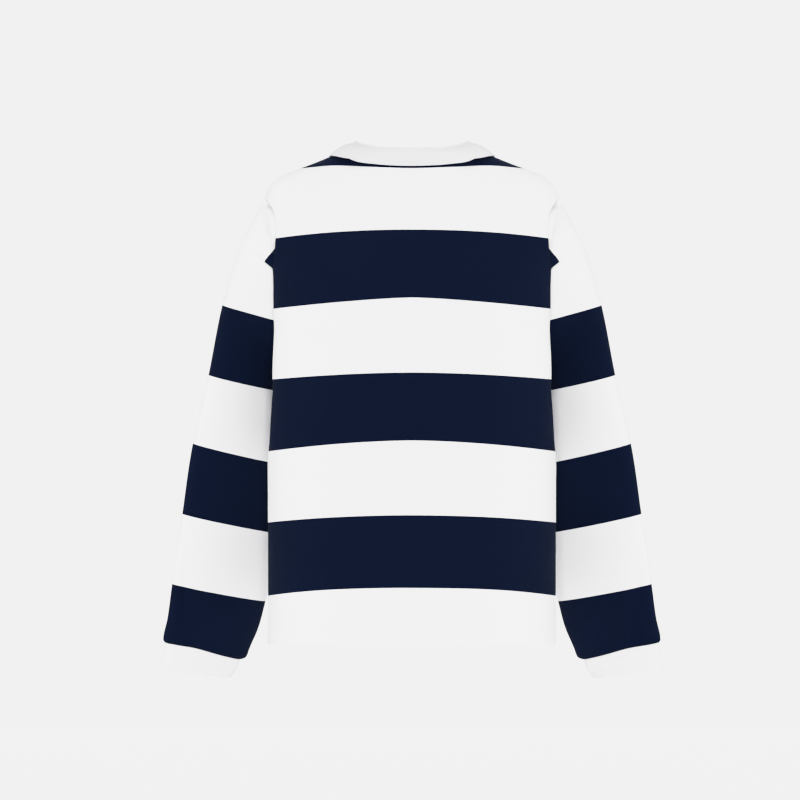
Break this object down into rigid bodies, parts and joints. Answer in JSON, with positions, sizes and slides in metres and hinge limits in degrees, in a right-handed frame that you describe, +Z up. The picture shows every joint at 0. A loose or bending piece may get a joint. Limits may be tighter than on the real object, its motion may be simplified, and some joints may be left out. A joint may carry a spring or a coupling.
{
  "type": "rugby shirt",
  "caption": "Long-sleeved striped rugby shirt, filled out as worn, with a turned-down collar, a button placket and ribbed cuffs, open at neck, hem and wrists.",
  "frame": {"origin": "midway between the points where the two shoulder seams meet the neck, at their height", "axes": "+Z up along the body, -Y the way the wearer faces, +X the wearer's left"},
  "size_m": [0.7074, 0.2836, 0.7629],
  "materials": {
    "jersey_back": "matt jersey with navy block stripes",
    "jersey_front": "matt jersey with navy block stripes",
    "jersey_sleeve": "matt jersey with navy block stripes",
    "collar_twill": "matt cotton twill",
    "cuff_rib": "fine rib knit",
    "placket_twill": "matt cotton twill",
    "button_rubber": "satin"
  },
  "bodies": {
    "root": {"back": "jersey_back", "front": "jersey_front", "sleeve_left": "jersey_sleeve", "sleeve_right": "jersey_sleeve", "cuff_left": "cuff_rib", "cuff_right": "cuff_rib", "collar": "collar_twill", "placket_over": "placket_twill", "placket_under": "placket_twill", "button_1": "button_rubber", "button_2": "button_rubber", "button_3": "button_rubber"}
  },
  "joints": []
}
